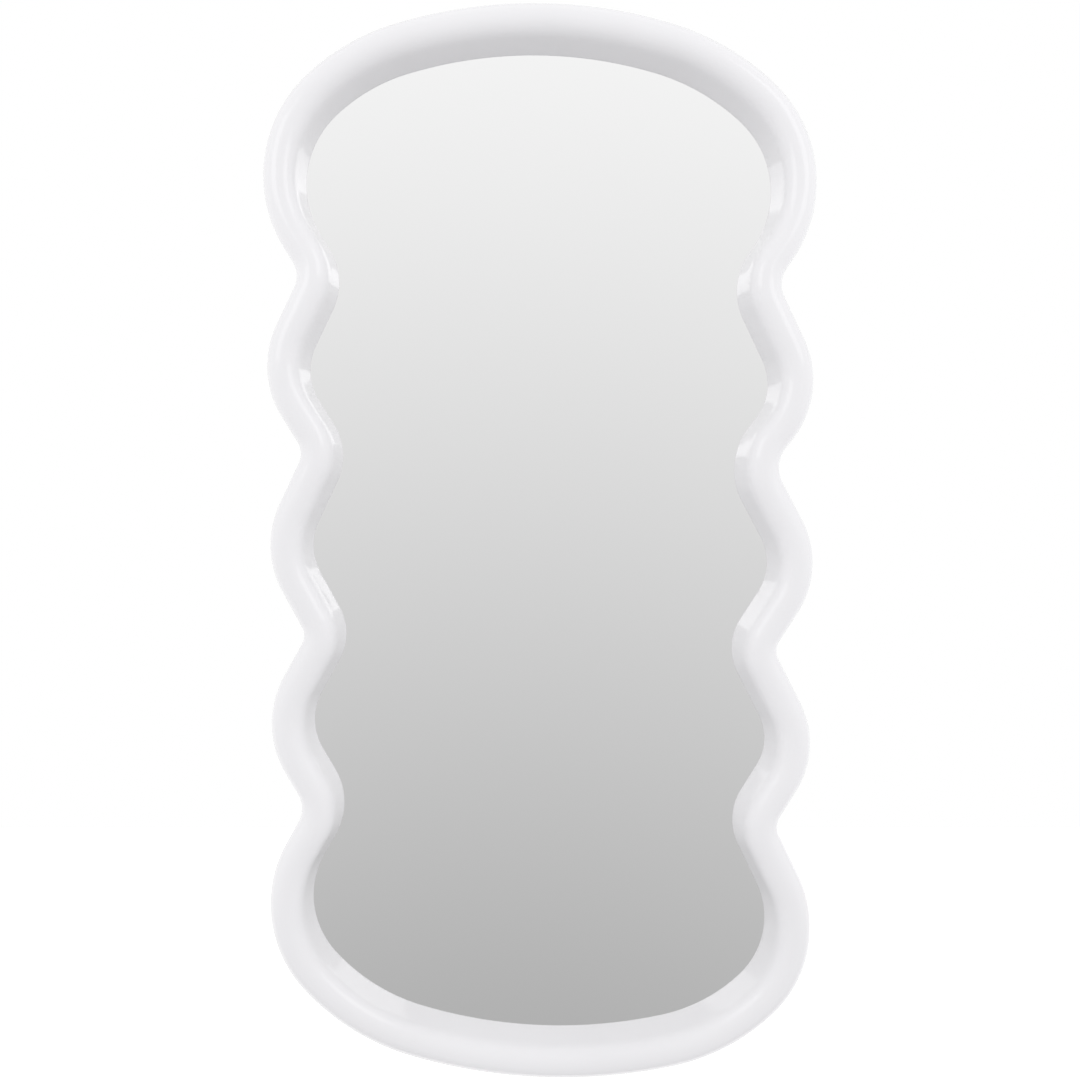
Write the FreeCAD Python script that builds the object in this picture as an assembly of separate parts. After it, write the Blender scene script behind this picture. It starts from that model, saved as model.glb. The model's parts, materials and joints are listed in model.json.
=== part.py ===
"""Tall wall mirror with a wavy outline and a rounded, glossy moulded frame.

The frame is one moulding that follows a closed, uneven wave. Behind its lip lie the mirror
glass on small edge pads and a back board, which flat framing points hold. Two strap hangers
with hinged D rings and four rubber bumpers are on the frame's back.

Millimetres, +Z up, the mirror faces -Y and the wall is the plane Y = 0. The origin lies on the
wall, midway between the two places where the wall's hooks carry the rings. While it is built,
the model stands with the frame's lowest point at Z = 0. Heights are measured from the frame's
back plane towards the viewer, and insets from the frame's inner edge outwards.
"""
import FreeCAD
import Part
import math
import os

from FreeCAD import Placement, Rotation, Vector

# ---- Outline: the middle line of the frame is a closed run of bends and straight tangents ----
# Each bend of the sides is (across, up, radius), placed where it runs straight up. The bends
# go out, in, out and so on. The top and the bottom bend are placed where they run level.
TOP_BEND = (-11.0, 1571.0, 686.0)
RIGHT_BENDS = [  # from the top down
    (382.0, 1333.0, 175.0),
    (330.0, 1181.0, 71.0),
    (377.0, 1039.0, 115.0),
    (326.0, 908.0, 77.0),
    (376.0, 767.0, 110.0),
    (322.0, 635.0, 54.0),
    (372.0, 498.0, 106.0),
    (323.0, 373.0, 58.0),
    (372.0, 224.0, 148.0),
]
BOTTOM_BEND = (31.0, 29.0, 770.0)
LEFT_BENDS = [  # from the bottom up
    (-375.0, 258.0, 157.0),
    (-328.0, 400.0, 69.0),
    (-373.0, 527.0, 117.0),
    (-325.0, 658.0, 54.0),
    (-375.0, 793.0, 118.0),
    (-330.0, 929.0, 62.0),
    (-380.0, 1060.0, 116.0),
    (-336.0, 1194.0, 67.0),
    (-386.0, 1344.0, 175.0),
]
# A shoulder takes over from the top or the bottom bend, this many degrees from that bend's place,
# and is as round as it must be to run into the nearest bend of the side.
TOP_RIGHT_SHOULDER = 16.5
BOTTOM_RIGHT_SHOULDER = 12.0
BOTTOM_LEFT_SHOULDER = 16.5
TOP_LEFT_SHOULDER = 17.0

# ---- Section of the frame --------------------------------------------------------------------
FRAME_WIDTH = 58.0
FRAME_DEPTH = 71.0
SLOPE_ANGLE = 80.0  # of the inner slope, from the plane of the wall
SIDE_LEAN = 6.0  # the outer side leans in towards the wall
LIP_THICKNESS = 3.0
BACK_RECESS = 3.5  # the back board lies this far inside the frame's back plane
BOARD_THICKNESS = 3.0
GLASS_THICKNESS = 4.0

# ---- Fits round the glass --------------------------------------------------------------------
GLASS_OVERLAP = 10.0
GLASS_CLEARANCE = 2.0  # filled by the edge pads
BOARD_CLEARANCE = 1.0
PAD_LENGTH = 50.0
PAD_SPREAD = 110.0  # of the setting blocks, along the bottom from its bend
POINT_COUNT = 10
POINT_WIDTH = 9.0
POINT_REACH = 10.0  # over the board, from the pocket's wall
POINT_GRIP = 6.0  # into the pocket's wall
POINT_THICKNESS = 0.6
POINT_FIT = 0.05

# ---- Screws and bumpers ----------------------------------------------------------------------
SCREW_HEAD_RADIUS = 3.5
SCREW_HEAD_HEIGHT = 1.8
SCREW_SHANK_RADIUS = 1.5
SCREW_LENGTH = 16.0  # under the head
SCREW_FIT = 0.05
PILOT_EXTRA = 1.0  # pilot holes go this much deeper than the screws
BUMPER_RADIUS = 8.0
STAND_OFF = 7.0  # from the frame's back plane to the wall, which is a bumper's height

# ---- Hangers ---------------------------------------------------------------------------------
STRAP_WIDTH = 19.0
STRAP_LENGTH = 58.0  # below the knuckle's axis
STRIP_THICKNESS = 1.0  # the strap is this strip folded double
STRAP_HOLES = (14.0, 46.0)  # below the knuckle's axis
STRAP_CORNER = 4.0
WIRE_RADIUS = 1.6
KNUCKLE_CLEARANCE = 0.1
RING_INNER_WIDTH = 22.0
RING_REACH = 24.0  # from the knuckle's axis to the middle of the wire at the crown
CROWN_STEPS = 5  # straight steps in which the wire is bent round the crown
RING_LEAN = 1.9  # degrees, so that the ring rests towards the frame

# ---- What follows from the sizes above -------------------------------------------------------
BOARD_FRONT = BACK_RECESS + BOARD_THICKNESS
LIP_HEIGHT = BOARD_FRONT + GLASS_THICKNESS
NOSE_HEIGHT = LIP_HEIGHT + LIP_THICKNESS
POCKET_INSET = GLASS_OVERLAP + GLASS_CLEARANCE
LEAN = math.radians(SIDE_LEAN)
SLOPE = math.radians(SLOPE_ANGLE)
# The front is one round that touches the frame's width, its depth and the inner slope.
ROUND_RADIUS = (
    (FRAME_WIDTH * math.sin(SLOPE) - (FRAME_DEPTH - NOSE_HEIGHT) * math.cos(SLOPE))
    / (1 + math.sin(SLOPE) - math.cos(SLOPE))
)
ROUND_HEIGHT = FRAME_DEPTH - ROUND_RADIUS
FOOT_INSET = (
    FRAME_WIDTH - ROUND_RADIUS * (1 - math.cos(LEAN))
    - (ROUND_HEIGHT - ROUND_RADIUS * math.sin(LEAN)) * math.tan(LEAN)
)
LAND_INSET = 0.5 * (POCKET_INSET + FOOT_INSET)  # the middle of the frame's flat back
PILOT_RADIUS = SCREW_SHANK_RADIUS + SCREW_FIT
KNUCKLE_INNER = WIRE_RADIUS + KNUCKLE_CLEARANCE
KNUCKLE_OUTER = KNUCKLE_INNER + STRIP_THICKNESS
STRAP_THICKNESS = 2 * STRIP_THICKNESS
SCREW_GRIP = SCREW_LENGTH - STRAP_THICKNESS  # of a screw in the frame
HANGER_LEFT = LEFT_BENDS[-1][0] - (LAND_INSET - 0.5 * FRAME_WIDTH)
HANGER_RIGHT = RIGHT_BENDS[0][0] + (LAND_INSET - 0.5 * FRAME_WIDTH)
KNUCKLE_UP = 0.5 * (LEFT_BENDS[-1][1] + RIGHT_BENDS[0][1] + STRAP_LENGTH)
ORIGIN = Vector(0.5 * (HANGER_LEFT + HANGER_RIGHT), 0, KNUCKLE_UP + RING_REACH - WIRE_RADIUS)
VIEWER = Vector(0, -1, 0)  # heights grow this way
TOUCHING = 1e-6  # circles this near to touching have no straight between them


def outward(heading):
    """Turn a clockwise heading by a quarter turn, to point out of the ring."""
    return Vector(-heading.z, 0, heading.x)


def bend_circle(bend, heading, turn):
    """Give the circle of a bend that is placed where its heading is straight."""
    across, up, radius = bend
    centre = Vector(across, 0, up) - outward(heading) * (turn * radius)
    return centre, radius, turn


def shoulder_circle(degrees, quarter, arch, side_bend):
    """Give the circle in a quarter of the outline that runs from its arch into the side bend.

    It lies in the arch's circle and round the side bend's, and touches both.
    """
    centre, arch_radius, _ = arch
    angle = math.radians(degrees)
    towards = Vector(quarter.x * math.sin(angle), 0, quarter.z * math.cos(angle))
    apart = centre - side_bend[0]
    wider = arch_radius - side_bend[1]
    reach = (wider ** 2 - apart.Length ** 2) / (2 * (apart.dot(towards) + wider))
    return centre + towards * reach, arch_radius - reach, 1


def side_circles(side_bends, heading):
    """Give a side's circles, which turn with and against the clock by turns."""
    return [
        bend_circle(bend, heading, 1 if index % 2 == 0 else -1)
        for index, bend in enumerate(side_bends)
    ]


def outline_circles():
    """List the circles of all the bends, clockwise from the top."""
    top = bend_circle(TOP_BEND, Vector(1, 0, 0), 1)
    bottom = bend_circle(BOTTOM_BEND, Vector(-1, 0, 0), 1)
    right = side_circles(RIGHT_BENDS, Vector(0, 0, -1))
    left = side_circles(LEFT_BENDS, Vector(0, 0, 1))
    return (
        [top, shoulder_circle(TOP_RIGHT_SHOULDER, Vector(1, 0, 1), top, right[0])]
        + right
        + [shoulder_circle(BOTTOM_RIGHT_SHOULDER, Vector(1, 0, -1), bottom, right[-1]), bottom]
        + [shoulder_circle(BOTTOM_LEFT_SHOULDER, Vector(-1, 0, -1), bottom, left[0])]
        + left
        + [shoulder_circle(TOP_LEFT_SHOULDER, Vector(-1, 0, 1), top, left[-1])]
    )


def tangent_heading(circle, following):
    """Find the heading of the straight tangent that leaves one circle for the next."""
    centre, radius, turn = circle
    next_centre, next_radius, next_turn = following
    apart = next_centre - centre
    spread = (next_turn * next_radius - turn * radius) / apart.Length
    if abs(spread) > 1 - TOUCHING:
        spread = math.copysign(1, spread)
    angle = math.atan2(apart.z, apart.x) + math.asin(spread)
    return Vector(math.cos(angle), 0, math.sin(angle))


def middle_line():
    """List the middle line's pieces, an arc and a straight for each bend.

    A piece is (start, outward direction there, centre or None, sweep in radians or length).
    A positive sweep turns with the clock as the viewer sees it.
    """
    circles = outline_circles()
    headings = [
        tangent_heading(circle, following)
        for circle, following in zip(circles, circles[1:] + circles[:1])
    ]
    pieces = []
    for index, (centre, radius, turn) in enumerate(circles):
        arriving = outward(headings[index - 1])
        leaving = outward(headings[index])
        following = circles[(index + 1) % len(circles)]
        arc_start = centre + arriving * (turn * radius)
        arc_end = centre + leaving * (turn * radius)
        line_end = following[0] + leaving * (following[2] * following[1])
        pieces.append((arc_start, arriving, centre, turn * arriving.getAngle(leaving)))
        if (line_end - arc_end).Length > TOUCHING:
            pieces.append((arc_end, leaving, None, (line_end - arc_end).Length))
    return pieces


PIECES = middle_line()
BEND_PIECES = [piece for piece in PIECES if piece[2] is not None]
TOP, TOP_RIGHT, *RIGHT_SIDE, BOTTOM_RIGHT, BOTTOM = BEND_PIECES[:len(RIGHT_BENDS) + 4]
BOTTOM_LEFT, *LEFT_SIDE, TOP_LEFT = BEND_PIECES[len(RIGHT_BENDS) + 4:]


def at(piece, inset, height, sweep=0.0):
    """Place a point by inset and height beside a piece, swept some way along it."""
    start, out, centre, _ = piece
    point = start + out * (inset - 0.5 * FRAME_WIDTH)
    if sweep and centre is not None:
        turned = Rotation(VIEWER, -math.degrees(sweep)).multVec(point - centre)
        point = centre + turned
    elif sweep:
        point = point + Vector(out.z, 0, -out.x) * sweep
    return point + VIEWER * (STAND_OFF + height)


def sweep_along(piece, shape, sweep=None):
    """Sweep a section along a piece of the middle line: turned on an arc, drawn on a straight."""
    _, out, centre, whole = piece
    sweep = whole if sweep is None else sweep
    if centre is None:
        return shape.extrude(Vector(out.z, 0, -out.x) * sweep)
    return shape.revolve(centre, VIEWER, -math.degrees(sweep))


def edge_line(inset, height):
    """Draw the closed outline that runs at an inset, all at one height."""
    edges = []
    for piece in PIECES:
        start = at(piece, inset, height)
        end = at(piece, inset, height, piece[3])
        if piece[2] is None:
            edges.append(Part.LineSegment(start, end).toShape())
        else:
            middle = at(piece, inset, height, 0.5 * piece[3])
            edges.append(Part.Arc(start, middle, end).toShape())
    return Part.Wire(edges)


def plate(inset, height, thickness):
    """Cut a flat plate with its edge at an inset and its back at a height."""
    return Part.Face(edge_line(inset, height)).extrude(VIEWER * thickness)


def on_circle(centre, radius, angles):
    """Place points of a section's circle at some angles, in radians from the outward side."""
    return [
        (centre[0] + radius * math.cos(angle), centre[1] + radius * math.sin(angle))
        for angle in angles
    ]


def section_runs():
    """Work out the frame's section as runs of two points for a line and three for an arc.

    A point is (inset, height). The section starts at the foot of the outer side.
    """
    facing = 0.5 * math.pi  # the angle of the front, which faces the viewer
    centre = (FRAME_WIDTH - ROUND_RADIUS, ROUND_HEIGHT)
    front = on_circle(
        centre, ROUND_RADIUS, (-LEAN, 0.5 * (facing + SLOPE - LEAN), facing + SLOPE)
    )
    foot = (FOOT_INSET, 0.0)
    corners = [
        front[-1],
        (0.0, NOSE_HEIGHT),
        (0.0, LIP_HEIGHT),
        (POCKET_INSET, LIP_HEIGHT),
        (POCKET_INSET, 0.0),
        foot,
    ]
    return [[foot, front[0]], front] + [list(pair) for pair in zip(corners, corners[1:])]


def frame_moulding():
    """Build the frame: leaning side, round front, inner slope, lip and glass pocket."""
    faces = []
    for piece in PIECES:
        for run in section_runs():
            points = [at(piece, inset, height) for inset, height in run]
            curve = Part.LineSegment(*points) if len(points) == 2 else Part.Arc(*points)
            faces.append(sweep_along(piece, curve.toShape()))
    shell = Part.makeShell(faces)
    shell.sewShape()
    moulding = Part.Solid(Part.Shell(shell.Faces))
    if moulding.Volume < 0:
        moulding.reverse()
    pilots = [
        Part.makeCylinder(
            PILOT_RADIUS, SCREW_GRIP + PILOT_EXTRA, place + VIEWER * STAND_OFF, VIEWER
        )
        for place in screw_places()
    ]
    return moulding.cut(pilots + framing_points(POINT_FIT))


def edge_pad(piece, shift):
    """Fill the gap beside the glass with a pad, some way along a bend from its middle."""
    bend_start, _, centre, whole = piece
    radius = (bend_start - centre).Length
    turn = math.copysign(1, whole)
    start = 0.5 * whole + turn * (shift - 0.5 * PAD_LENGTH) / radius
    corners = [
        at(piece, inset, height, start)
        for inset, height in (
            (GLASS_OVERLAP, BOARD_FRONT),
            (POCKET_INSET, BOARD_FRONT),
            (POCKET_INSET, LIP_HEIGHT),
            (GLASS_OVERLAP, LIP_HEIGHT),
        )
    ]
    end_face = Part.Face(Part.makePolygon(corners + corners[:1]))
    return sweep_along(piece, end_face, turn * PAD_LENGTH / radius)


def framing_points(fit=0.0):
    """Drive flat points through the pocket's wall on to the board, evenly round the frame.

    With a fit they are the slots for these points, wider by the fit on each side.
    """
    points = []
    for index in range(POINT_COUNT):
        piece, reached = outline_place((index + 0.5) / POINT_COUNT)
        wall = at(piece, POCKET_INSET, BACK_RECESS, reached)
        outwards = wall - at(piece, 0.0, BACK_RECESS, reached)
        point = Part.makeBox(
            POINT_REACH + POINT_GRIP + fit,
            POINT_WIDTH + 2 * fit,
            POINT_THICKNESS + 2 * fit,
            Vector(-POINT_REACH, -0.5 * POINT_WIDTH - fit, -POINT_THICKNESS - fit),
        )
        point.Placement = Placement(
            wall, Rotation(outwards, Vector(0, 0, 0), VIEWER, "XZY")
        )
        points.append(point)
    return points


def outline_place(share):
    """Find the piece, and how far along it, at a share of the way round from the top left."""
    left = share * sum(piece_length(piece) for piece in PIECES)
    for piece in PIECES:
        if left <= piece_length(piece):
            break
        left -= piece_length(piece)
    return piece, left / piece_length(piece) * piece[3]


def piece_length(piece):
    """Measure a piece of the middle line."""
    start, _, centre, sweep = piece
    return sweep if centre is None else abs(sweep) * (start - centre).Length


def hanger_places():
    """Place the left and the right knuckle's axis on the wall plane."""
    return [Vector(across, 0, KNUCKLE_UP) for across in (HANGER_LEFT, HANGER_RIGHT)]


def strap_hole_places(knuckle):
    return [knuckle - Vector(0, 0, drop) for drop in STRAP_HOLES]


def screw_places():
    return [place for knuckle in hanger_places() for place in strap_hole_places(knuckle)]


def screw(place):
    """Put a screw through a strap: its head lies on the strap's back."""
    seat = place + VIEWER * (STAND_OFF - STRAP_THICKNESS)
    head = Part.makeCylinder(SCREW_HEAD_RADIUS, SCREW_HEAD_HEIGHT, seat, -VIEWER)
    return head.fuse(Part.makeCylinder(SCREW_SHANK_RADIUS, SCREW_LENGTH, seat, VIEWER))


def hanger_strap(knuckle):
    """Fold a strip round the ring's bar: a double strap with a rolled knuckle and holes."""
    axis = knuckle + VIEWER * (STAND_OFF - KNUCKLE_OUTER)
    side = Vector(0.5 * STRAP_WIDTH, 0, 0)
    across = Vector(1, 0, 0)
    knuckle_tube = Part.makeCylinder(KNUCKLE_OUTER, STRAP_WIDTH, axis - side, across)
    bore = Part.makeCylinder(KNUCKLE_INNER, STRAP_WIDTH, axis - side, across)
    strap = Part.makeBox(STRAP_WIDTH, STRAP_THICKNESS, STRAP_LENGTH)
    strap.translate(knuckle - side + VIEWER * STAND_OFF - Vector(0, 0, STRAP_LENGTH))
    low_edges = [
        edge for edge in strap.Edges
        if abs(edge.CenterOfMass.z - (KNUCKLE_UP - STRAP_LENGTH)) < TOUCHING
        and edge.BoundBox.YLength > TOUCHING
    ]
    strap = strap.makeFillet(STRAP_CORNER, low_edges)
    holes = [
        Part.makeCylinder(PILOT_RADIUS, STRAP_THICKNESS, place + VIEWER * STAND_OFF, -VIEWER)
        for place in strap_hole_places(knuckle)
    ]
    return knuckle_tube.fuse(strap).cut([bore] + holes).removeSplitter()


def d_ring(knuckle):
    """Bend a wire into a closed D, standing up from its bar and leaning to the frame."""
    half = 0.5 * RING_INNER_WIDTH + WIRE_RADIUS
    crown_up = RING_REACH - half
    rise = half / math.cos(0.5 * math.pi / CROWN_STEPS)  # the middle step runs at the full reach
    angles = [math.pi * step / CROWN_STEPS for step in range(CROWN_STEPS + 1)]
    crown = [
        Vector(half * math.cos(angle), 0, crown_up + rise * math.sin(angle)) for angle in angles
    ]
    path = [Vector(0, 0, 0), Vector(half, 0, 0)] + crown + [Vector(-half, 0, 0), Vector(0, 0, 0)]
    disc = Part.Wire(Part.makeCircle(WIRE_RADIUS, path[0], Vector(1, 0, 0)))
    mitred = 1
    ring = Part.makePolygon(path).makePipeShell([disc], True, False, mitred)
    ring.rotate(Vector(0, 0, 0), Vector(1, 0, 0), RING_LEAN)
    ring.translate(knuckle + VIEWER * (STAND_OFF - KNUCKLE_OUTER))
    return ring


def wall_bumper(piece):
    """Stand a bumper on the frame's back, behind the middle of a shoulder."""
    base = at(piece, LAND_INSET, 0.0, 0.5 * piece[3])
    return Part.makeCylinder(BUMPER_RADIUS, STAND_OFF, base, -VIEWER)


def build_parts():
    """Build every sub-part by name, standing with the frame's foot at Z = 0."""
    left_knuckle, right_knuckle = hanger_places()
    shoulders = (TOP_RIGHT, BOTTOM_RIGHT, BOTTOM_LEFT, TOP_LEFT)
    return {
        "mirror_frame": frame_moulding(),
        "mirror_glass": plate(GLASS_OVERLAP, BOARD_FRONT, GLASS_THICKNESS),
        "back_board": plate(POCKET_INSET - BOARD_CLEARANCE, BACK_RECESS, BOARD_THICKNESS),
        "framing_points": Part.makeCompound(framing_points()),
        "setting_block_left": edge_pad(BOTTOM, PAD_SPREAD),
        "setting_block_right": edge_pad(BOTTOM, -PAD_SPREAD),
        "edge_pad_left": edge_pad(LEFT_SIDE[4], 0.0),
        "edge_pad_right": edge_pad(RIGHT_SIDE[4], 0.0),
        "hanger_strap_left": hanger_strap(left_knuckle),
        "hanger_strap_right": hanger_strap(right_knuckle),
        "hanger_screws": Part.makeCompound([screw(place) for place in screw_places()]),
        "d_ring_left": d_ring(left_knuckle),
        "d_ring_right": d_ring(right_knuckle),
        "wall_bumpers": Part.makeCompound([wall_bumper(piece) for piece in shoulders]),
    }


def main():
    os.makedirs("parts", exist_ok=True)
    for name, shape in build_parts().items():
        shape.translate(ORIGIN * -1)
        shape.exportStep(f"parts/{name}.step")
        box = shape.BoundBox
        print(
            f"{name}: {len(shape.Solids)} solids, valid {shape.isValid()},"
            f" {shape.Volume / 1000:.1f} cm3,"
            f" x {box.XMin:.1f} to {box.XMax:.1f}, y {box.YMin:.1f} to {box.YMax:.1f},"
            f" z {box.ZMin:.1f} to {box.ZMax:.1f}"
        )


main()
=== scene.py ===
"""Dresses the packed wavy wall mirror: lacquered frame, glass, board, hangers and stage."""
import json
import math

import bpy
from mathutils import Matrix, Vector


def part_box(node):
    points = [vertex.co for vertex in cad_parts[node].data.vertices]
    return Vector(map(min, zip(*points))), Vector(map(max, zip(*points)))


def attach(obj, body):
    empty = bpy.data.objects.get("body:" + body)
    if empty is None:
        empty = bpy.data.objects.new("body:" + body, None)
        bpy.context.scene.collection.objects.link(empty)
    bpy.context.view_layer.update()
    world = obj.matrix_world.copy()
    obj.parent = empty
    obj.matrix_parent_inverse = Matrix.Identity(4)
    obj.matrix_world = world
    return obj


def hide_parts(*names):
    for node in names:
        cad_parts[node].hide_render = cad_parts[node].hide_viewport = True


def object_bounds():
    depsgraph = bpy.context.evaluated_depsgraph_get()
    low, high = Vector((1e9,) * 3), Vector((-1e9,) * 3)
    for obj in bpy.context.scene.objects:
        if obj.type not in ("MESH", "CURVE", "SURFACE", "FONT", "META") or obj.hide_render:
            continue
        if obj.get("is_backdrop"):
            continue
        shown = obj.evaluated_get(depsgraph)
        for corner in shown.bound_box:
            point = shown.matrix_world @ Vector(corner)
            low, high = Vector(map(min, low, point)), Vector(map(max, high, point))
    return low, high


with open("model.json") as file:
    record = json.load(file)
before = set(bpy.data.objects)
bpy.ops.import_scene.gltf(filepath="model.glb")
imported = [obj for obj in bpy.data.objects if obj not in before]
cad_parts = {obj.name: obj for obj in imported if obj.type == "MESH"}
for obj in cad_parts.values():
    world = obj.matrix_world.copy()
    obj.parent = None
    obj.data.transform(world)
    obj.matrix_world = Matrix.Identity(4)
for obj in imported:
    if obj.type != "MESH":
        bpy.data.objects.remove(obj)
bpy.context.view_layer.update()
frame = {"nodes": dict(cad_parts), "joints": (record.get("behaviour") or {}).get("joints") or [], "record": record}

bl_info = {
    "name": "Wavy wall mirror",
    "version": (1, 0, 0),
    "blender": (4, 5, 0),
    "location": "View3D > Sidebar > Wavy mirror",
    "description": "Models and finishes the parts of a wavy wall mirror round its packed frame",
    "category": "Object",
}

MAIN_BODY = "mirror_body"
MERGE = 1e-6  # metres, under which two points are one

# The frame's middle line in metres, across and up from the row's origin, as in the part's source.
# Each bend is (across, up, radius). The sides' bends go out, in, out and so on.
TOP_BEND = (-0.009, 0.1811, 0.686)
RIGHT_BENDS = [  # from the top down
    (0.384, -0.0569, 0.175),
    (0.332, -0.2089, 0.071),
    (0.379, -0.3509, 0.115),
    (0.328, -0.4819, 0.077),
    (0.378, -0.6229, 0.110),
    (0.324, -0.7549, 0.054),
    (0.374, -0.8919, 0.106),
    (0.325, -1.0169, 0.058),
    (0.374, -1.1659, 0.148),
]
BOTTOM_BEND = (0.033, -1.3609, 0.770)
LEFT_BENDS = [  # from the bottom up
    (-0.373, -1.1319, 0.157),
    (-0.326, -0.9899, 0.069),
    (-0.371, -0.8629, 0.117),
    (-0.323, -0.7319, 0.054),
    (-0.373, -0.5969, 0.118),
    (-0.328, -0.4609, 0.062),
    (-0.378, -0.3299, 0.116),
    (-0.334, -0.1959, 0.067),
    (-0.384, -0.0459, 0.175),
]
# A shoulder takes over from the top or the bottom bend, this many degrees from that bend's place,
# and is as round as it must be to run into the nearest bend of the side.
TOP_RIGHT_SHOULDER = 16.5
BOTTOM_RIGHT_SHOULDER = 12.0
BOTTOM_LEFT_SHOULDER = 16.5
TOP_LEFT_SHOULDER = 17.0

SCREW_RIM = 0.6  # rounding of a screw head, in head heights
SLOT_LENGTH = 1.1  # of a screw's slot, in head radii
SLOT_WIDTH = 0.22  # in head radii
SLOT_DEPTH = 1.2  # in head heights, half of it in the head
SCREW_TURN = 0.3  # radians from the strap's middle line
DISH_RADIUS = 0.5  # of a bumper's dish, in bumper radii
DISH_HEIGHT = 0.4  # in bumper heights, half of it in the bumper
BUMPER_EDGE = 0.08  # rounding, in bumper radii

# Each window lamp is (name, side, middle above the row's origin, height), in metres.
WINDOWS = [
    ("left_window", -1.0, 1.43, 1.96),
    ("right_window", 1.0, 1.75, 2.60),
]


# ---- Sizes and colours that a user may change ------------------------------------------------
def length_property(name, description, default):
    return bpy.props.FloatProperty(
        name=name, description=description, default=default, min=0.0, precision=5, unit="LENGTH"
    )


def angle_property(name, description, degrees):
    return bpy.props.FloatProperty(
        name=name, description=description, default=math.radians(degrees), subtype="ANGLE"
    )


def factor_property(name, description, default):
    return bpy.props.FloatProperty(
        name=name, description=description, default=default, min=0.0, max=1.0, subtype="FACTOR"
    )


def strength_property(name, description, default):
    return bpy.props.FloatProperty(name=name, description=description, default=default, min=0.0)


def colour_property(name, description, default):
    return bpy.props.FloatVectorProperty(
        name=name, description=description, default=default, size=3, min=0.0, max=1.0,
        subtype="COLOR",
    )


class MouldingSettings(bpy.types.PropertyGroup):
    """Sizes and finish of the lacquered frame."""

    width: length_property("Width", "From the inner to the outer edge", 0.058)
    depth: length_property("Depth", "From the back plane to the front", 0.071)
    nose_height: length_property("Nose height", "Of the inner edge above the back plane", 0.0135)
    lip_height: length_property("Lip height", "Of the glass's front above the back plane", 0.0105)
    pocket: length_property("Pocket", "From the inner edge to the pocket's wall", 0.012)
    stand_off: length_property("Stand-off", "From the back plane to the wall", 0.007)
    slope: angle_property("Slope", "Of the inner side, from the wall's plane", 78.0)
    lean: angle_property("Lean", "Of the outer side, in towards the wall", 6.0)
    nose_radius: length_property("Nose radius", "Rounding of the inner edge", 0.0011)
    foot_radius: length_property("Foot radius", "Rounding of the outer edge at the back", 0.0015)
    colour: colour_property("Colour", "Of the lacquer", (0.852, 0.845, 0.866))
    roughness: factor_property("Roughness", "Of the lacquer's clear top", 0.06)


class GlassSettings(bpy.types.PropertyGroup):
    """Finish of the mirror glass."""

    silver: colour_property("Silver", "Colour of the silvering", (0.946, 0.946, 0.946))


class BackSettings(bpy.types.PropertyGroup):
    """Colours of the back's pieces."""

    board: colour_property("Board", "Colour of the hardboard", (0.235, 0.135, 0.07))
    zinc: colour_property("Zinc", "Colour of the plated steel", (0.50, 0.50, 0.49))
    nickel: colour_property("Nickel", "Colour of the ring wire", (0.58, 0.57, 0.55))
    rubber: colour_property("Rubber", "Colour of bumpers and pads", (0.028, 0.028, 0.030))


class HangerSettings(bpy.types.PropertyGroup):
    """Sizes of rings, screws and bumpers."""

    wire_radius: length_property("Wire radius", "Of the rings", 0.0016)
    ring_width: length_property("Ring width", "Inside a ring", 0.022)
    ring_reach: length_property("Ring reach", "From the knuckle to the crown", 0.024)
    ring_corner: length_property("Ring corner", "Radius beside the bar", 0.0024)
    ring_lean: angle_property("Ring lean", "Towards the frame at rest", 1.9)
    strap_thickness: length_property("Strap thickness", "Of the folded strap", 0.002)
    upper_screw: length_property("Upper screw", "Below the knuckle", 0.014)
    lower_screw: length_property("Lower screw", "Below the knuckle", 0.046)
    screw_radius: length_property("Screw radius", "Of a head", 0.0035)
    screw_height: length_property("Screw height", "Of a head", 0.0018)
    bumper_radius: length_property("Bumper radius", "At its foot", 0.008)


class StageSettings(bpy.types.PropertyGroup):
    """Camera, light and floor."""

    camera_place: bpy.props.FloatVectorProperty(
        name="Camera place", description="In the row frame", size=3, subtype="TRANSLATION",
        default=(-0.0684, -1.5545, -0.592),
    )
    lens: bpy.props.FloatProperty(
        name="Lens", description="Focal length in millimetres", default=33.48, min=1.0
    )
    shift_across: bpy.props.FloatProperty(
        name="Shift across", description="Of the picture, in widths", default=0.0426
    )
    shift_up: bpy.props.FloatProperty(
        name="Shift up", description="Of the picture, in widths", default=0.0016
    )
    floor_drop: length_property("Floor drop", "From the mirror's foot to the floor", 0.36)
    fill: strength_property("Fill", "Light of the room at eye height", 0.865)
    fill_fall: strength_property("Fill fall", "Loss of that light towards straight up", 0.02)
    side_light: strength_property("Side light", "Added towards the room's sides", 0.30)
    level: strength_property("Level", "What gloss shows of the room at eye height", 0.707)
    rise: strength_property("Rise", "Growth of what gloss shows towards straight up", 0.56)
    backdrop_edge: strength_property("Backdrop edge", "How sharply the backdrop begins", 4.0)
    window_light: strength_property("Window light", "Of a window lamp, watts a metre up", 4.592)
    window_across: length_property("Window across", "From the middle to a window lamp", 2.38)
    window_front: length_property("Window front", "From the wall to a window lamp", 2.93)
    window_aim: length_property("Window aim", "How far past the middle a lamp looks", 0.35)
    window_width: length_property("Window width", "Of a window lamp", 1.85)
    floor_size: length_property("Floor size", "Of the pale floor's sides", 5.0)
    floor_glow: strength_property("Floor glow", "Light that keeps the floor white", 0.55)


SETTINGS = {
    "wavy_moulding": MouldingSettings,
    "wavy_glass": GlassSettings,
    "wavy_back": BackSettings,
    "wavy_hanger": HangerSettings,
    "wavy_stage": StageSettings,
}


# ---- Outline ---------------------------------------------------------------------------------
def outward(heading):
    """Turn a clockwise heading by a quarter turn, to point out of the ring."""
    return Vector((-heading.y, heading.x))


def clockwise(direction, angle):
    """Turn a direction with the clock."""
    return Matrix.Rotation(-angle, 2) @ direction


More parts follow.
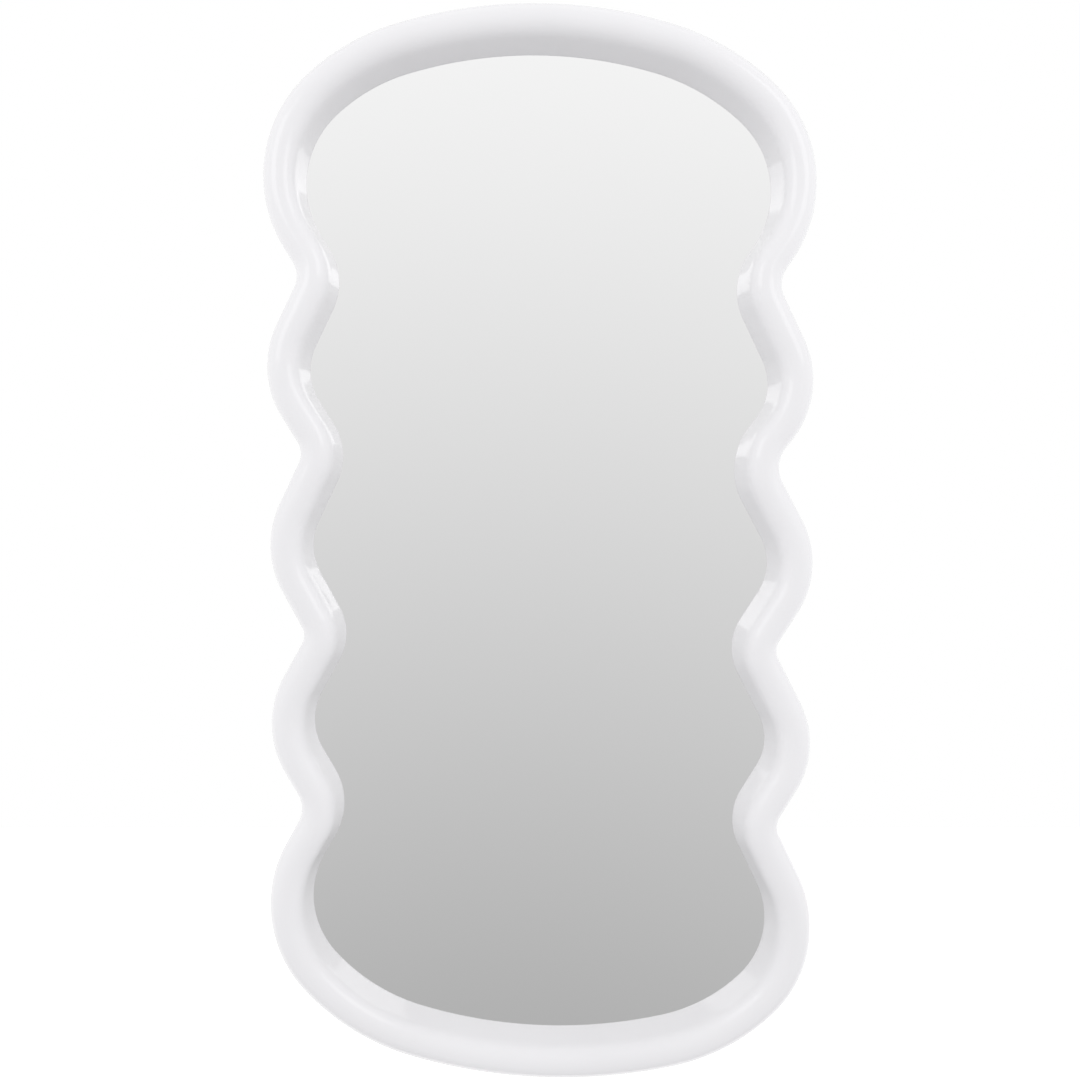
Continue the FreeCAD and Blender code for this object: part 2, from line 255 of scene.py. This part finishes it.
def bend_circle(bend, heading, turn):
    """Give (centre, radius, turn) of a bend that is placed where its heading is straight."""
    across, up, radius = bend
    return Vector((across, up)) - outward(heading) * (turn * radius), radius, turn


def shoulder_circle(degrees, quarter, arch, side_bend):
    """Give the circle in a quarter of the outline that touches its arch and the side's bend."""
    centre, arch_radius, _ = arch
    angle = math.radians(degrees)
    towards = Vector((quarter[0] * math.sin(angle), quarter[1] * math.cos(angle)))
    apart = centre - side_bend[0]
    wider = arch_radius - side_bend[1]
    reach = (wider ** 2 - apart.length_squared) / (2 * (apart.dot(towards) + wider))
    return centre + towards * reach, arch_radius - reach, 1


def side_circles(bends, heading):
    """Give a side's circles, which turn with and against the clock by turns."""
    return [
        bend_circle(bend, Vector(heading), 1 if index % 2 == 0 else -1)
        for index, bend in enumerate(bends)
    ]


def outline_circles():
    """List the circles of all the bends, clockwise from the top."""
    top = bend_circle(TOP_BEND, Vector((1, 0)), 1)
    bottom = bend_circle(BOTTOM_BEND, Vector((-1, 0)), 1)
    right = side_circles(RIGHT_BENDS, (0, -1))
    left = side_circles(LEFT_BENDS, (0, 1))
    return (
        [top, shoulder_circle(TOP_RIGHT_SHOULDER, (1, 1), top, right[0])]
        + right
        + [shoulder_circle(BOTTOM_RIGHT_SHOULDER, (1, -1), bottom, right[-1]), bottom]
        + [shoulder_circle(BOTTOM_LEFT_SHOULDER, (-1, -1), bottom, left[0])]
        + left
        + [shoulder_circle(TOP_LEFT_SHOULDER, (-1, 1), top, left[-1])]
    )


def tangent_heading(circle, following):
    """Find the heading of the straight tangent that leaves one circle for the next."""
    centre, radius, turn = circle
    next_centre, next_radius, next_turn = following
    apart = next_centre - centre
    spread = (next_turn * next_radius - turn * radius) / apart.length
    angle = math.atan2(apart.y, apart.x) + math.asin(max(-1.0, min(1.0, spread)))
    return Vector((math.cos(angle), math.sin(angle)))


def arc_handle(radius, angle):
    """Length of the handles that make a Bezier leg follow an arc."""
    return 4 / 3 * math.tan(angle / 4) * radius


def outline_legs():
    """List the middle line's Bezier legs as (start, heading, handle length)."""
    circles = outline_circles()
    headings = [
        tangent_heading(circle, following)
        for circle, following in zip(circles, circles[1:] + circles[:1])
    ]
    legs = []
    for index, (centre, radius, turn) in enumerate(circles):
        arriving, leaving = headings[index - 1], headings[index]
        half = 0.5 * arriving.angle(leaving)
        for heading in (arriving, clockwise(arriving, turn * half)):
            start = centre + outward(heading) * (turn * radius)
            legs.append((start, heading, arc_handle(radius, half)))
        next_centre, next_radius, next_turn = circles[(index + 1) % len(circles)]
        start = centre + outward(leaving) * (turn * radius)
        end = next_centre + outward(leaving) * (next_turn * next_radius)
        if (end - start).length > 1e-5:
            legs.append((start, leaving, (end - start).length / 3))
    return legs


# ---- Curves and meshes -----------------------------------------------------------------------
def rounded_legs(corners):
    """Round a closed polygon's corners, given as (point, radius), into Bezier legs."""
    legs = []
    points = [Vector(point) for point, _ in corners]
    reaches = []
    for index, (_, radius) in enumerate(corners):
        before = points[index] - points[index - 1]
        after = points[(index + 1) % len(points)] - points[index]
        angle = before.angle(after)
        reaches.append((before.normalized(), after.normalized(), angle,
                        radius * math.tan(0.5 * angle)))
    for index, (_, radius) in enumerate(corners):
        before, after, angle, reach = reaches[index]
        following = (index + 1) % len(points)
        legs.append((points[index] - before * reach, before, arc_handle(radius, angle)))
        run = (points[following] - points[index]).length - reach - reaches[following][3]
        if run > MERGE:
            legs.append((points[index] + after * reach, after, run / 3))
    return legs


def bezier_loop(name, legs, resolution):
    """Draw a closed flat curve along Bezier legs."""
    bpy.ops.object.select_all(action="DESELECT")
    bpy.ops.curve.primitive_bezier_circle_add()
    loop = bpy.context.object
    loop.name = name
    loop.data.dimensions = "2D"
    loop.data.fill_mode = "NONE"
    loop.data.resolution_u = resolution
    knots = loop.data.splines[0].bezier_points
    knots.add(len(legs) - len(knots))
    for index, (start, heading, handle) in enumerate(legs):
        knot = knots[index]
        knot.handle_left_type = "FREE"
        knot.handle_right_type = "FREE"
        knot.co = start.to_3d()
        knot.handle_left = (start - heading * legs[index - 1][2]).to_3d()
        knot.handle_right = (start + heading * handle).to_3d()
    return loop


def to_mesh(piece):
    """Turn a curve into a mesh."""
    bpy.ops.object.select_all(action="DESELECT")
    piece.select_set(True)
    bpy.context.view_layer.objects.active = piece
    bpy.ops.object.convert(target="MESH")
    return bpy.context.object


def tidy_mesh(piece, smooth_degrees):
    """Merge doubles, point the faces outwards, put the place in the mesh and shade smoothly."""
    bpy.ops.object.select_all(action="DESELECT")
    piece.select_set(True)
    bpy.context.view_layer.objects.active = piece
    bpy.ops.object.transform_apply(location=True, rotation=True, scale=True)
    bpy.ops.object.mode_set(mode="EDIT")
    bpy.ops.mesh.select_all(action="SELECT")
    bpy.ops.mesh.remove_doubles(threshold=MERGE)
    bpy.ops.mesh.normals_make_consistent(inside=False)
    bpy.ops.object.mode_set(mode="OBJECT")
    bpy.ops.object.shade_smooth_by_angle(angle=math.radians(smooth_degrees))
    return piece


def remove(thing):
    bpy.data.objects.remove(thing, do_unlink=True)


def finish_piece(piece, name, body, slot, surface, *nodes):
    """Name a new piece, give it its material and let it stand for its CAD nodes."""
    piece.name = name
    piece.data.name = name
    piece.data.materials.clear()
    piece.data.materials.append(surface)
    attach(piece, body)
    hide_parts(*nodes)


def dress_node(name, surface):
    """Give a CAD node its material."""
    node = frame["nodes"][name]
    node.data.materials.clear()
    node.data.materials.append(surface)


# ---- Materials -------------------------------------------------------------------------------
class Finish:
    """A material that is put together from nodes."""

    def __init__(self, name, **values):
        self.material = bpy.data.materials.new(name)
        self.material.use_nodes = True
        self.nodes = self.material.node_tree.nodes
        self.links = self.material.node_tree.links
        self.shader = self.nodes["Principled BSDF"]
        self.place = self.add("ShaderNodeTexCoord").outputs["Object"]
        for socket, value in values.items():
            self.shader.inputs[socket.replace("_", " ")].default_value = value

    def add(self, kind, **values):
        node = self.nodes.new(kind)
        for name, value in values.items():
            setattr(node, name, value)
        return node

    def link(self, output, node, socket):
        self.links.new(output, node.inputs[socket])

    def stretched(self, scale):
        """The place, stretched by a scale along each axis."""
        mapping = self.add("ShaderNodeMapping")
        mapping.inputs["Scale"].default_value = scale
        self.link(self.place, mapping, "Vector")
        return mapping.outputs["Vector"]

    def noise(self, scale, detail=2.0, vector=None):
        """A noise of a number of spots for each metre."""
        node = self.add("ShaderNodeTexNoise")
        node.inputs["Scale"].default_value = scale
        node.inputs["Detail"].default_value = detail
        self.link(vector or self.place, node, "Vector")
        return node.outputs["Fac"]

    def between(self, factor, low, high, start=0.3, end=0.7):
        """Map a factor to a range of numbers."""
        node = self.add("ShaderNodeMapRange")
        node.inputs["From Min"].default_value = start
        node.inputs["From Max"].default_value = end
        node.inputs["To Min"].default_value = low
        node.inputs["To Max"].default_value = high
        self.link(factor, node, "Value")
        return node.outputs["Result"]

    def blend(self, factor, first, second):
        """Blend two colours by a factor."""
        node = self.add("ShaderNodeMix", data_type="RGBA")
        self.link(factor, node, "Factor")
        node.inputs["A"].default_value = (*first, 1.0)
        node.inputs["B"].default_value = (*second, 1.0)
        return node.outputs["Result"]

    def bump(self, height, distance, strength=1.0, under=None):
        """Raise the surface by a height of up to a distance, on top of another bump."""
        node = self.add("ShaderNodeBump")
        node.inputs["Strength"].default_value = strength
        node.inputs["Distance"].default_value = distance
        self.link(height, node, "Height")
        if under is not None:
            self.link(under, node, "Normal")
        return node.outputs["Normal"]

    def set(self, socket, output):
        self.link(output, self.shader, socket)


def shade(colour, factor):
    return tuple(min(1.0, channel * factor) for channel in colour)


def lacquer(settings):
    """Thick white lacquer: soft waves from the moulding, a fine orange peel and a clear top."""
    finish = Finish(
        "white_lacquer", Roughness=0.32, Coat_Weight=1.0, Coat_Roughness=settings.roughness,
        Coat_IOR=1.5,
    )
    tone = finish.blend(
        finish.between(finish.noise(3.0), 0.0, 1.0),
        shade(settings.colour, 0.985), shade(settings.colour, 1.01),
    )
    finish.set("Base Color", tone)
    waves = finish.bump(finish.noise(16.0, 1.0), 0.0012)
    peel = finish.bump(finish.noise(420.0, 1.0), 0.000012, under=waves)
    finish.set("Normal", peel)
    finish.set("Coat Normal", peel)
    return finish.material


def silvering(settings):
    """Silvered float glass, polished, with faint smears of wiping."""
    finish = Finish("mirror_silver", Metallic=1.0)
    finish.set("Base Color", finish.blend(
        finish.noise(2.0), shade(settings.silver, 0.995), settings.silver
    ))
    smears = finish.noise(6.0, 4.0, finish.stretched((1.0, 1.0, 3.0)))
    finish.set("Roughness", finish.between(smears, 0.004, 0.014))
    return finish.material


def hardboard(settings):
    """Pressed brown fibre board with the mark of its wire mesh."""
    finish = Finish("hardboard", Roughness=0.78)
    fibres = finish.noise(260.0, 6.0, finish.stretched((1.0, 1.0, 0.35)))
    clouds = finish.noise(9.0, 3.0)
    tone = finish.add("ShaderNodeMix", data_type="RGBA")
    finish.link(finish.between(fibres, 0.0, 1.0), tone, "Factor")
    finish.link(finish.blend(clouds, shade(settings.board, 0.72), shade(settings.board, 0.95)),
                tone, "A")
    finish.link(finish.blend(clouds, shade(settings.board, 1.1), shade(settings.board, 1.4)),
                tone, "B")
    finish.set("Base Color", tone.outputs["Result"])
    mesh = None
    for axis in ("X", "Z"):
        wave = finish.add("ShaderNodeTexWave", bands_direction=axis, wave_profile="SIN")
        wave.inputs["Scale"].default_value = 180.0
        finish.link(finish.place, wave, "Vector")
        mesh = finish.bump(wave.outputs["Fac"], 0.00012, under=mesh)
    finish.set("Normal", finish.bump(fibres, 0.0002, under=mesh))
    return finish.material


def plated(name, colour, grain):
    """Plated steel: a fine drawn grain and a few dull spots."""
    finish = Finish(name, Metallic=1.0)
    lines = finish.noise(900.0, 3.0, finish.stretched(grain))
    spots = finish.noise(120.0, 4.0)
    finish.set("Base Color", finish.blend(spots, shade(colour, 0.86), shade(colour, 1.08)))
    finish.set("Roughness", finish.between(spots, 0.22, 0.42))
    finish.set("Normal", finish.bump(lines, 0.00002))
    return finish.material


def rubber(settings):
    """Dull moulded rubber with a little dust."""
    finish = Finish("rubber", Roughness=0.7)
    dust = finish.noise(500.0, 5.0)
    finish.set("Base Color", finish.blend(
        finish.between(dust, 0.0, 1.0), settings.rubber, shade(settings.rubber, 2.2)
    ))
    finish.set("Normal", finish.bump(dust, 0.00004))
    return finish.material


# ---- Pieces ----------------------------------------------------------------------------------
def tangent_corner(centre, radius, first, second):
    """Find where the tangents at two angles of a circle meet."""
    one = Vector((math.cos(first), math.sin(first)))
    other = Vector((math.cos(second), math.sin(second)))
    return centre + (one + other) * (radius / (1 + one.dot(other)))


def moulding_section(settings):
    """Draw the frame's section from the middle of its back: inwards across, and up."""
    width, depth, slope = settings.width, settings.depth, settings.slope
    radius = (
        (width * math.sin(slope) - (depth - settings.nose_height) * math.cos(slope))
        / (1 + math.sin(slope) - math.cos(slope))
    )
    centre = Vector((width - radius, depth - radius))
    facing = 0.5 * math.pi
    side = tangent_corner(centre, radius, -settings.lean, facing)
    inner = tangent_corner(centre, radius, facing, facing + slope)
    foot = Vector((side.x - side.y * math.tan(settings.lean), 0.0))
    corners = [
        (foot, settings.foot_radius),
        (side, radius),
        (inner, radius),
        (Vector((0.0, settings.nose_height)), settings.nose_radius),
        (Vector((0.0, settings.lip_height)), 0.0003),
        (Vector((settings.pocket, settings.lip_height)), 0.0003),
        (Vector((settings.pocket, 0.0)), 0.0005),
    ]
    return rounded_legs([
        (Vector((0.5 * width - point.x, point.y)), rounding) for point, rounding in corners
    ])


class WAVY_OT_moulding(bpy.types.Operator):
    """Sweep the frame's section along the wavy outline and lacquer it"""

    bl_idname = "wavy.moulding"
    bl_label = "Frame moulding"

    def execute(self, context):
        settings = context.scene.wavy_moulding
        section = bezier_loop("section", moulding_section(settings), 6)
        moulding = bezier_loop("moulding", outline_legs(), 10)
        moulding.data.bevel_mode = "OBJECT"
        moulding.data.bevel_object = section
        moulding = to_mesh(moulding)
        remove(section)
        moulding.rotation_euler.x = 0.5 * math.pi
        moulding.location.y = -settings.stand_off
        moulding.visible_glossy = False  # the glass shows the room only
        tidy_mesh(moulding, 40.0)
        finish_piece(
            moulding, "lacquered_frame", MAIN_BODY, "white_lacquer", lacquer(settings),
            "mirror_frame",
        )
        return {"FINISHED"}


class WAVY_OT_glass(bpy.types.Operator):
    """Silver the mirror glass"""

    bl_idname = "wavy.glass"
    bl_label = "Mirror glass"

    def execute(self, context):
        dress_node("mirror_glass", silvering(context.scene.wavy_glass))
        return {"FINISHED"}


class WAVY_OT_back(bpy.types.Operator):
    """Finish the back board, its framing points and the pads round the glass"""

    bl_idname = "wavy.back"
    bl_label = "Back board and pads"

    def execute(self, context):
        settings = context.scene.wavy_back
        dress_node("back_board", hardboard(settings))
        dress_node("framing_points", plated("point_steel", settings.zinc, (1.0, 1.0, 0.1)))
        pads = rubber(settings)
        for name in ("setting_block_left", "setting_block_right", "edge_pad_left",
                     "edge_pad_right"):
            dress_node(name, pads)
        return {"FINISHED"}


class WAVY_OT_hangers(bpy.types.Operator):
    """Plate the hanger straps, bend the rings and turn the screws"""

    bl_idname = "wavy.hangers"
    bl_label = "Hangers"

    def execute(self, context):
        sizes = context.scene.wavy_hanger
        colours = context.scene.wavy_back
        strap_steel = plated("strap_zinc", colours.zinc, (1.0, 1.0, 0.05))
        screw_steel = plated("screw_zinc", colours.zinc, (1.0, 1.0, 1.0))
        ring_steel = plated("ring_nickel", colours.nickel, (1.0, 1.0, 1.0))
        for side in ("left", "right"):
            dress_node(f"hanger_strap_{side}", strap_steel)
            joint = next(j for j in frame["joints"] if j["child"] == f"{side}_ring")
            knuckle = Vector(joint["pos_m"])
            finish_piece(
                bend_ring(knuckle, sizes), f"ring_{side}", f"{side}_ring", "ring_wire",
                ring_steel, f"d_ring_{side}",
            )
            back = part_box("mirror_frame")[1].y + sizes.strap_thickness
            for place, drop in (("upper", sizes.upper_screw), ("lower", sizes.lower_screw)):
                seat = Vector((knuckle.x, back, knuckle.z - drop))
                finish_piece(
                    turn_screw(seat, sizes), f"screw_{side}_{place}", MAIN_BODY, "zinc_screws",
                    screw_steel, "hanger_screws",
                )
        return {"FINISHED"}


def bend_ring(knuckle, sizes):
    """Bend a D ring from round wire, up from its bar in the knuckle."""
    half = 0.5 * sizes.ring_width + sizes.wire_radius
    legs = rounded_legs([
        (Vector((-half, 0.0)), sizes.ring_corner),
        (Vector((-half, sizes.ring_reach)), half),
        (Vector((half, sizes.ring_reach)), half),
        (Vector((half, 0.0)), sizes.ring_corner),
    ])
    ring = bezier_loop("ring", legs, 10)
    ring.data.dimensions = "3D"
    ring.data.bevel_depth = sizes.wire_radius
    ring.data.bevel_resolution = 6
    ring = to_mesh(ring)
    ring.rotation_euler.x = 0.5 * math.pi + sizes.ring_lean
    ring.location = knuckle
    return tidy_mesh(ring, 60.0)


def add_cylinder(vertices, radius, height, middle):
    """Add an upright cylinder with its middle at a height on the z axis."""
    bpy.ops.object.select_all(action="DESELECT")
    bpy.ops.mesh.primitive_cylinder_add(
        vertices=vertices, radius=radius, depth=height, location=(0.0, 0.0, middle)
    )
    return bpy.context.object


def round_edges(piece, width, segments):
    """Round all the sharp edges of a piece."""
    rounding = piece.modifiers.new("edges", "BEVEL")
    rounding.width = width
    rounding.segments = segments
    bpy.ops.object.modifier_apply(modifier=rounding.name)


def carve(piece, cutter):
    """Cut one piece out of another, and take the cutter away."""
    cut = piece.modifiers.new("cut", "BOOLEAN")
    cut.object = cutter
    bpy.context.view_layer.objects.active = piece
    bpy.ops.object.modifier_apply(modifier=cut.name)
    remove(cutter)


def turn_screw(seat, sizes):
    """Turn a domed head with a cross recess on a seat that faces the wall."""
    radius, height = sizes.screw_radius, sizes.screw_height
    head = add_cylinder(40, radius, height, 0.5 * height)
    round_edges(head, SCREW_RIM * height, 4)
    for turn in (0.0, 0.5 * math.pi):
        bpy.ops.mesh.primitive_cube_add(
            size=1.0, location=(0.0, 0.0, height), rotation=(0.0, 0.0, turn)
        )
        slot = bpy.context.object
        slot.scale = (SLOT_LENGTH * radius, SLOT_WIDTH * radius, SLOT_DEPTH * height)
        carve(head, slot)
    head.rotation_euler = (-0.5 * math.pi, SCREW_TURN, 0.0)
    head.location = seat + Vector((0.0, 0.5 * height, 0.0))
    return tidy_mesh(head, 30.0)


class WAVY_OT_bumpers(bpy.types.Operator):
    """Mould the four wall bumpers at their places in the record"""

    bl_idname = "wavy.bumpers"
    bl_label = "Wall bumpers"

    def execute(self, context):
        sizes = context.scene.wavy_hanger
        height = context.scene.wavy_moulding.stand_off
        surface = rubber(context.scene.wavy_back)
        for mount in frame["record"]["mounts"]:
            if mount["name"].startswith("bumper_face"):
                bumper = mould_bumper(Vector(mount["pos_m"]), height, sizes.bumper_radius)
                name = mount["name"].replace("_face", "")
                finish_piece(
                    bumper, name, MAIN_BODY, "rubber_bumpers", surface, "wall_bumpers"
                )
        return {"FINISHED"}


def mould_bumper(foot, height, radius):
    """Mould a round bumper with soft edges and a dished face."""
    dish = add_cylinder(48, DISH_RADIUS * radius, DISH_HEIGHT * height, height)
    bumper = add_cylinder(48, radius, height, 0.5 * height)
    carve(bumper, dish)
    round_edges(bumper, BUMPER_EDGE * radius, 3)
    bumper.rotation_euler.x = -0.5 * math.pi
    bumper.location = foot - Vector((0.0, 0.5 * height, 0.0))
    return tidy_mesh(bumper, 35.0)


class WAVY_OT_stage(bpy.types.Operator):
    """Set up the camera, the room's light, the lamps and the pale floor"""

    bl_idname = "wavy.stage"
    bl_label = "Stage"

    def execute(self, context):
        settings = context.scene.wavy_stage
        place_camera(context, settings)
        light_room(context, settings)
        lay_floor(settings)
        context.scene.view_settings.view_transform = "Standard"
        return {"FINISHED"}


def place_camera(context, settings):
    bpy.ops.object.camera_add(
        location=settings.camera_place, rotation=(0.5 * math.pi, 0.0, 0.0)
    )
    camera = bpy.context.object
    camera.data.lens = settings.lens
    camera.data.shift_x = settings.shift_across
    camera.data.shift_y = settings.shift_up
    context.scene.camera = camera


def light_room(context, settings):
    """Light the object evenly, and show gloss a bright ceiling and a white backdrop behind."""
    world = bpy.data.worlds.new("room")
    context.scene.world = world
    world.use_nodes = True
    nodes, links = world.node_tree.nodes, world.node_tree.links
    nodes.clear()

    def work_out(operation, *terms):
        node = nodes.new("ShaderNodeMath")
        node.operation = operation
        for socket, term in zip(node.inputs, terms):
            if isinstance(term, float):
                socket.default_value = term
            else:
                links.new(term, socket)
        return node.outputs["Value"]

    direction = nodes.new("ShaderNodeSeparateXYZ")
    links.new(nodes.new("ShaderNodeTexCoord").outputs["Generated"], direction.inputs["Vector"])
    ray = nodes.new("ShaderNodeLightPath")
    across = work_out("MULTIPLY", direction.outputs["X"], direction.outputs["X"])
    across = work_out("MULTIPLY", across, settings.side_light)
    gloss = work_out("MULTIPLY_ADD", direction.outputs["Z"], settings.rise, settings.level)
    gloss = work_out("ADD", gloss, across)
    fill = work_out("MULTIPLY_ADD", direction.outputs["Z"], -settings.fill_fall, settings.fill)
    fill = work_out("ADD", fill, across)
    room = work_out(
        "MULTIPLY_ADD", ray.outputs["Is Glossy Ray"], work_out("SUBTRACT", gloss, fill), fill
    )
    behind = work_out("MULTIPLY", direction.outputs["Y"], settings.backdrop_edge)
    white = work_out("MAXIMUM", behind, ray.outputs["Is Camera Ray"])
    white = work_out("MINIMUM", work_out("MAXIMUM", white, 0.0), 1.0)
    light = nodes.new("ShaderNodeBackground")
    light.inputs["Color"].default_value = (1.0, 1.0, 1.0, 1.0)
    links.new(
        work_out("MULTIPLY_ADD", white, work_out("SUBTRACT", 1.0, room), room),
        light.inputs["Strength"],
    )
    output = nodes.new("ShaderNodeOutputWorld")
    links.new(light.outputs["Background"], output.inputs["Surface"])
    for name, side, middle, height in WINDOWS:
        place = (side * settings.window_across, -settings.window_front, middle)
        target = (-side * settings.window_aim, 0.0, middle)
        size = (settings.window_width, height)
        add_lamp(name, place, target, size, settings.window_light * height)


def add_lamp(name, place, target, size, power):
    """Add a rectangular lamp that looks at a target and shows in the gloss."""
    towards = Vector(target) - Vector(place)
    bpy.ops.object.light_add(
        type="AREA", location=place, rotation=towards.to_track_quat("-Z", "Y").to_euler()
    )
    lamp = bpy.context.object
    lamp.name = name
    lamp.data.shape = "RECTANGLE"
    lamp.data.size, lamp.data.size_y = size
    lamp.data.energy = power
    lamp.visible_camera = False


def lay_floor(settings):
    """Lay a pale floor that looks white and is open from below."""
    low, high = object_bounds()
    bpy.ops.mesh.primitive_plane_add(
        size=settings.floor_size,
        location=(0.5 * (low.x + high.x), 0.0, low.z - settings.floor_drop),
    )
    floor = bpy.context.object
    floor.name = "floor"
    floor.visible_diffuse = False
    floor.visible_glossy = False
    floor.visible_shadow = False
    finish = Finish("pale_floor", Roughness=0.9)
    tone = finish.blend(finish.noise(4.0), (0.80, 0.80, 0.79), (0.83, 0.83, 0.82))
    finish.set("Base Color", tone)
    glow = finish.add("ShaderNodeEmission")
    glow.inputs["Strength"].default_value = settings.floor_glow
    lit = finish.add("ShaderNodeAddShader")
    finish.links.new(finish.shader.outputs["BSDF"], lit.inputs[0])
    finish.links.new(glow.outputs["Emission"], lit.inputs[1])
    side = finish.add("ShaderNodeNewGeometry")
    clear = finish.add("ShaderNodeBsdfTransparent")
    seen = finish.add("ShaderNodeMixShader")
    finish.links.new(side.outputs["Backfacing"], seen.inputs["Fac"])
    finish.links.new(lit.outputs["Shader"], seen.inputs[1])
    finish.links.new(clear.outputs["BSDF"], seen.inputs[2])
    finish.links.new(seen.outputs["Shader"], finish.nodes["Material Output"].inputs["Surface"])
    floor.data.materials.append(finish.material)
    floor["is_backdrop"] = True


class WAVY_PT_panel(bpy.types.Panel):
    """List the steps and the settings of the wavy mirror"""

    bl_idname = "WAVY_PT_panel"
    bl_label = "Wavy mirror"
    bl_space_type = "VIEW_3D"
    bl_region_type = "UI"
    bl_category = "Wavy mirror"

    def draw(self, context):
        for step in STEPS:
            self.layout.operator(step.bl_idname)
        for name, group in SETTINGS.items():
            box = self.layout.box()
            box.label(text=group.__doc__)
            for prop in group.__annotations__:
                box.prop(getattr(context.scene, name), prop)


STEPS = (
    WAVY_OT_moulding, WAVY_OT_glass, WAVY_OT_back, WAVY_OT_hangers, WAVY_OT_bumpers,
    WAVY_OT_stage,
)


def register():
    for thing in (*SETTINGS.values(), *STEPS, WAVY_PT_panel):
        bpy.utils.register_class(thing)
    for name, group in SETTINGS.items():
        setattr(bpy.types.Scene, name, bpy.props.PointerProperty(type=group))


def unregister():
    for name in SETTINGS:
        delattr(bpy.types.Scene, name)
    for thing in reversed((*SETTINGS.values(), *STEPS, WAVY_PT_panel)):
        bpy.utils.unregister_class(thing)


def main():
    register()
    bpy.ops.wavy.moulding()
    bpy.ops.wavy.glass()
    bpy.ops.wavy.back()
    bpy.ops.wavy.hangers()
    bpy.ops.wavy.bumpers()
    bpy.ops.wavy.stage()


if __name__ == "__main__":
    main()
